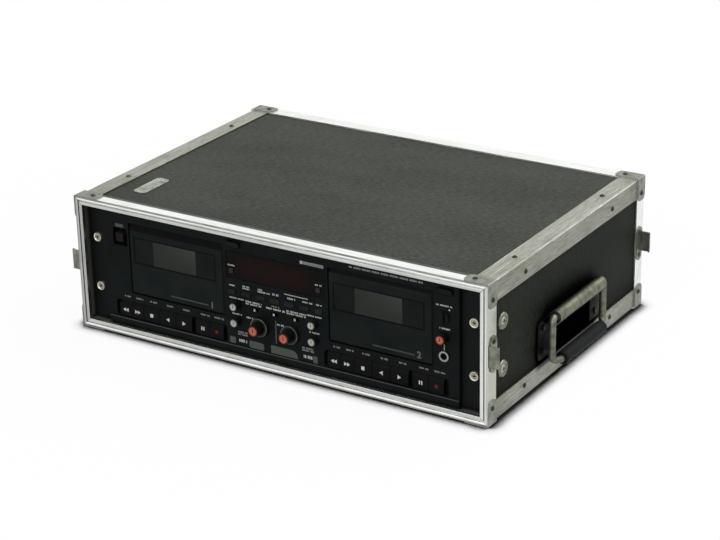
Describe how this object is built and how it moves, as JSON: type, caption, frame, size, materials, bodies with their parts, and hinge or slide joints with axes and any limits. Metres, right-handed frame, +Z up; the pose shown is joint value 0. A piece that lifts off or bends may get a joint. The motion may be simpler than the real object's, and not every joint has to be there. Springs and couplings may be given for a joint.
{
  "type": "double cassette recorder in a rack case",
  "caption": "Double cassette recorder with two hinged cassette doors, push keys and level knobs, in a portable rack case with side handles.",
  "frame": {"origin": "on the floor plane, at the middle of the overall box in plan", "axes": "+X to the right of someone facing the controls, controls face -Y, +Z up"},
  "size_m": [0.55, 0.3612, 0.1542],
  "materials": {
    "grained_laminate": "fine-grained dark grey laminate",
    "bright_aluminium": "satin extrusion",
    "worn_aluminium": "scratched satin",
    "pressed_steel": "dull zinc plate",
    "rivet_steel": "dull steel",
    "black_steel": "fine satin paint",
    "nickel_plate": "nickel plate",
    "black_moulding": "fine-textured moulding",
    "smoked_red_pane": "gloss, dark red tint",
    "black_gloss": "semi gloss",
    "grey_mechanism": "zinc grey",
    "board_green": "solder mask",
    "dark_grey_button": "satin",
    "key_black": "satin",
    "white_tip": "satin",
    "knob_grey": "satin"
  },
  "bodies": {
    "case": {"case_boards": "grained_laminate", "end_frames": "bright_aluminium", "edge_angles": "worn_aluminium", "corner_braces": "pressed_steel", "case_rivets": "rivet_steel", "latch_keepers": "pressed_steel", "handle_brackets": "pressed_steel", "rack_rails": "black_steel", "rack_bolts": "nickel_plate", "rack_ears": "black_steel", "front_panel": "black_moulding", "display_window": "smoked_red_pane", "chassis_tray": "black_steel", "top_cover": "black_steel", "sockets": "black_gloss", "cassette_mechanisms": "grey_mechanism", "circuit_boards": "board_green"},
    "side_handle_right": {"side_handle_right": "pressed_steel"},
    "side_handle_left": {"side_handle_left": "pressed_steel"},
    "cassette_door_left": {"cassette_door_left": "black_moulding"},
    "cassette_door_right": {"cassette_door_right": "black_moulding"},
    "eject_button_left": {"eject_button_left": "black_gloss"},
    "eject_button_right": {"eject_button_right": "black_gloss"},
    "key_rewind_left": {"key_rewind_left": "key_black"},
    "key_fast_forward_left": {"key_fast_forward_left": "key_black"},
    "key_stop_left": {"key_stop_left": "key_black"},
    "key_reverse_play_left": {"key_reverse_play_left": "key_black"},
    "key_play_left": {"key_play_left": "key_black"},
    "key_pause_left": {"key_pause_left": "key_black"},
    "key_record_left": {"key_record_left": "key_black"},
    "key_rewind_right": {"key_rewind_right": "key_black"},
    "key_fast_forward_right": {"key_fast_forward_right": "key_black"},
    "key_stop_right": {"key_stop_right": "key_black"},
    "key_reverse_play_right": {"key_reverse_play_right": "key_black"},
    "key_play_right": {"key_play_right": "key_black"},
    "key_pause_right": {"key_pause_right": "key_black"},
    "key_record_right": {"key_record_right": "key_black"},
    "function_button_1": {"function_button_1": "dark_grey_button"},
    "function_button_2": {"function_button_2": "dark_grey_button"},
    "function_button_3": {"function_button_3": "dark_grey_button"},
    "function_button_4": {"function_button_4": "dark_grey_button"},
    "function_button_5": {"function_button_5": "dark_grey_button"},
    "function_button_6": {"function_button_6": "dark_grey_button"},
    "function_button_7": {"function_button_7": "dark_grey_button"},
    "counter_reset_left": {"counter_reset_left": "dark_grey_button"},
    "counter_reset_right": {"counter_reset_right": "dark_grey_button"},
    "power_button": {"power_button": "dark_grey_button"},
    "slide_switch_1": {"slide_switch_1": "white_tip"},
    "slide_switch_2": {"slide_switch_2": "white_tip"},
    "slide_switch_3": {"slide_switch_3": "white_tip"},
    "level_ring_left": {"level_ring_left": "knob_grey"},
    "level_knob_left": {"level_knob_left": "knob_grey"},
    "trim_knob_upper_left": {"trim_knob_upper_left": "knob_grey"},
    "trim_knob_lower_left": {"trim_knob_lower_left": "knob_grey"},
    "level_ring_right": {"level_ring_right": "knob_grey"},
    "level_knob_right": {"level_knob_right": "knob_grey"},
    "trim_knob_upper_right": {"trim_knob_upper_right": "knob_grey"},
    "trim_knob_lower_right": {"trim_knob_lower_right": "knob_grey"},
    "timer_knob": {"timer_knob": "black_gloss"},
    "phones_knob": {"phones_knob": "knob_grey"}
  },
  "joints": [
    {"name": "side_handle_right_swing", "type": "hinge", "parent": "case", "child": "side_handle_right", "pos_m": [0.2627, 0.0046, 0.074], "axis": [0, -1, 0], "range_deg": [0, 95]},
    {"name": "side_handle_left_swing", "type": "hinge", "parent": "case", "child": "side_handle_left", "pos_m": [-0.2627, 0.0046, 0.074], "axis": [0, 1, 0], "range_deg": [0, 95]},
    {"name": "cassette_door_left_open", "type": "hinge", "parent": "case", "child": "cassette_door_left", "pos_m": [-0.1263, -0.1629, 0.052], "axis": [1, 0, 0], "range_deg": [0, 25]},
    {"name": "cassette_door_right_open", "type": "hinge", "parent": "case", "child": "cassette_door_right", "pos_m": [0.1263, -0.1629, 0.052], "axis": [1, 0, 0], "range_deg": [0, 25]},
    {"name": "eject_button_left_push", "type": "slide", "parent": "case", "child": "eject_button_left", "axis": [0, 1, 0], "range_m": [0, 0.0025], "stiffness_N_per_m": 200, "springref_m": -0.001},
    {"name": "eject_button_right_push", "type": "slide", "parent": "case", "child": "eject_button_right", "axis": [0, 1, 0], "range_m": [0, 0.0025], "stiffness_N_per_m": 200, "springref_m": -0.001},
    {"name": "key_rewind_left_push", "type": "slide", "parent": "case", "child": "key_rewind_left", "axis": [0, 1, 0], "range_m": [0, 0.002], "stiffness_N_per_m": 200, "springref_m": -0.001},
    {"name": "key_fast_forward_left_push", "type": "slide", "parent": "case", "child": "key_fast_forward_left", "axis": [0, 1, 0], "range_m": [0, 0.002], "stiffness_N_per_m": 200, "springref_m": -0.001},
    {"name": "key_stop_left_push", "type": "slide", "parent": "case", "child": "key_stop_left", "axis": [0, 1, 0], "range_m": [0, 0.002], "stiffness_N_per_m": 200, "springref_m": -0.001},
    {"name": "key_reverse_play_left_push", "type": "slide", "parent": "case", "child": "key_reverse_play_left", "axis": [0, 1, 0], "range_m": [0, 0.002], "stiffness_N_per_m": 200, "springref_m": -0.001},
    {"name": "key_play_left_push", "type": "slide", "parent": "case", "child": "key_play_left", "axis": [0, 1, 0], "range_m": [0, 0.002], "stiffness_N_per_m": 200, "springref_m": -0.001},
    {"name": "key_pause_left_push", "type": "slide", "parent": "case", "child": "key_pause_left", "axis": [0, 1, 0], "range_m": [0, 0.002], "stiffness_N_per_m": 200, "springref_m": -0.001},
    {"name": "key_record_left_push", "type": "slide", "parent": "case", "child": "key_record_left", "axis": [0, 1, 0], "range_m": [0, 0.002], "stiffness_N_per_m": 200, "springref_m": -0.001},
    {"name": "key_rewind_right_push", "type": "slide", "parent": "case", "child": "key_rewind_right", "axis": [0, 1, 0], "range_m": [0, 0.002], "stiffness_N_per_m": 200, "springref_m": -0.001},
    {"name": "key_fast_forward_right_push", "type": "slide", "parent": "case", "child": "key_fast_forward_right", "axis": [0, 1, 0], "range_m": [0, 0.002], "stiffness_N_per_m": 200, "springref_m": -0.001},
    {"name": "key_stop_right_push", "type": "slide", "parent": "case", "child": "key_stop_right", "axis": [0, 1, 0], "range_m": [0, 0.002], "stiffness_N_per_m": 200, "springref_m": -0.001},
    {"name": "key_reverse_play_right_push", "type": "slide", "parent": "case", "child": "key_reverse_play_right", "axis": [0, 1, 0], "range_m": [0, 0.002], "stiffness_N_per_m": 200, "springref_m": -0.001},
    {"name": "key_play_right_push", "type": "slide", "parent": "case", "child": "key_play_right", "axis": [0, 1, 0], "range_m": [0, 0.002], "stiffness_N_per_m": 200, "springref_m": -0.001},
    {"name": "key_pause_right_push", "type": "slide", "parent": "case", "child": "key_pause_right", "axis": [0, 1, 0], "range_m": [0, 0.002], "stiffness_N_per_m": 200, "springref_m": -0.001},
    {"name": "key_record_right_push", "type": "slide", "parent": "case", "child": "key_record_right", "axis": [0, 1, 0], "range_m": [0, 0.002], "stiffness_N_per_m": 200, "springref_m": -0.001},
    {"name": "function_button_1_push", "type": "slide", "parent": "case", "child": "function_button_1", "axis": [0, 1, 0], "range_m": [0, 0.0008], "stiffness_N_per_m": 200, "springref_m": -0.001},
    {"name": "function_button_2_push", "type": "slide", "parent": "case", "child": "function_button_2", "axis": [0, 1, 0], "range_m": [0, 0.0008], "stiffness_N_per_m": 200, "springref_m": -0.001},
    {"name": "function_button_3_push", "type": "slide", "parent": "case", "child": "function_button_3", "axis": [0, 1, 0], "range_m": [0, 0.0008], "stiffness_N_per_m": 200, "springref_m": -0.001},
    {"name": "function_button_4_push", "type": "slide", "parent": "case", "child": "function_button_4", "axis": [0, 1, 0], "range_m": [0, 0.0008], "stiffness_N_per_m": 200, "springref_m": -0.001},
    {"name": "function_button_5_push", "type": "slide", "parent": "case", "child": "function_button_5", "axis": [0, 1, 0], "range_m": [0, 0.0008], "stiffness_N_per_m": 200, "springref_m": -0.001},
    {"name": "function_button_6_push", "type": "slide", "parent": "case", "child": "function_button_6", "axis": [0, 1, 0], "range_m": [0, 0.0008], "stiffness_N_per_m": 200, "springref_m": -0.001},
    {"name": "function_button_7_push", "type": "slide", "parent": "case", "child": "function_button_7", "axis": [0, 1, 0], "range_m": [0, 0.0008], "stiffness_N_per_m": 200, "springref_m": -0.001},
    {"name": "counter_reset_left_push", "type": "slide", "parent": "case", "child": "counter_reset_left", "axis": [0, 1, 0], "range_m": [0, 0.0008], "stiffness_N_per_m": 200, "springref_m": -0.001},
    {"name": "counter_reset_right_push", "type": "slide", "parent": "case", "child": "counter_reset_right", "axis": [0, 1, 0], "range_m": [0, 0.0008], "stiffness_N_per_m": 200, "springref_m": -0.001},
    {"name": "power_button_push", "type": "slide", "parent": "case", "child": "power_button", "axis": [0, 1, 0], "range_m": [0, 0.003], "stiffness_N_per_m": 200, "springref_m": -0.001},
    {"name": "slide_switch_1_slide", "type": "slide", "parent": "case", "child": "slide_switch_1", "axis": [1, 0, 0], "range_m": [-0.0024, 0.0024]},
    {"name": "slide_switch_2_slide", "type": "slide", "parent": "case", "child": "slide_switch_2", "axis": [1, 0, 0], "range_m": [-0.0024, 0.0024]},
    {"name": "slide_switch_3_slide", "type": "slide", "parent": "case", "child": "slide_switch_3", "axis": [1, 0, 0], "range_m": [-0.0024, 0.0024]},
    {"name": "level_ring_left_turn", "type": "hinge", "parent": "case", "child": "level_ring_left", "pos_m": [-0.019, -0.1654, 0.0474], "axis": [0, 1, 0], "range_deg": [-150, 150]},
    {"name": "level_knob_left_turn", "type": "hinge", "parent": "level_ring_left", "child": "level_knob_left", "pos_m": [-0.019, -0.1654, 0.0474], "axis": [0, 1, 0], "range_deg": [-150, 150]},
    {"name": "trim_knob_upper_left_turn", "type": "hinge", "parent": "case", "child": "trim_knob_upper_left", "pos_m": [-0.0484, -0.1654, 0.0656], "axis": [0, 1, 0], "range_deg": [-150, 150]},
    {"name": "trim_knob_lower_left_turn", "type": "hinge", "parent": "case", "child": "trim_knob_lower_left", "pos_m": [-0.0484, -0.1654, 0.0472], "axis": [0, 1, 0], "range_deg": [-150, 150]},
    {"name": "level_ring_right_turn", "type": "hinge", "parent": "case", "child": "level_ring_right", "pos_m": [0.019, -0.1654, 0.0474], "axis": [0, 1, 0], "range_deg": [-150, 150]},
    {"name": "level_knob_right_turn", "type": "hinge", "parent": "level_ring_right", "child": "level_knob_right", "pos_m": [0.019, -0.1654, 0.0474], "axis": [0, 1, 0], "range_deg": [-150, 150]},
    {"name": "trim_knob_upper_right_turn", "type": "hinge", "parent": "case", "child": "trim_knob_upper_right", "pos_m": [0.0484, -0.1654, 0.0656], "axis": [0, 1, 0], "range_deg": [-150, 150]},
    {"name": "trim_knob_lower_right_turn", "type": "hinge", "parent": "case", "child": "trim_knob_lower_right", "pos_m": [0.0484, -0.1654, 0.0472], "axis": [0, 1, 0], "range_deg": [-150, 150]},
    {"name": "timer_knob_turn", "type": "hinge", "parent": "case", "child": "timer_knob", "pos_m": [0.201, -0.1654, 0.1058], "axis": [0, 1, 0], "range_deg": [-40, 40]},
    {"name": "phones_knob_turn", "type": "hinge", "parent": "case", "child": "phones_knob", "pos_m": [0.201, -0.1654, 0.0846], "axis": [0, 1, 0], "range_deg": [-150, 150]}
  ]
}
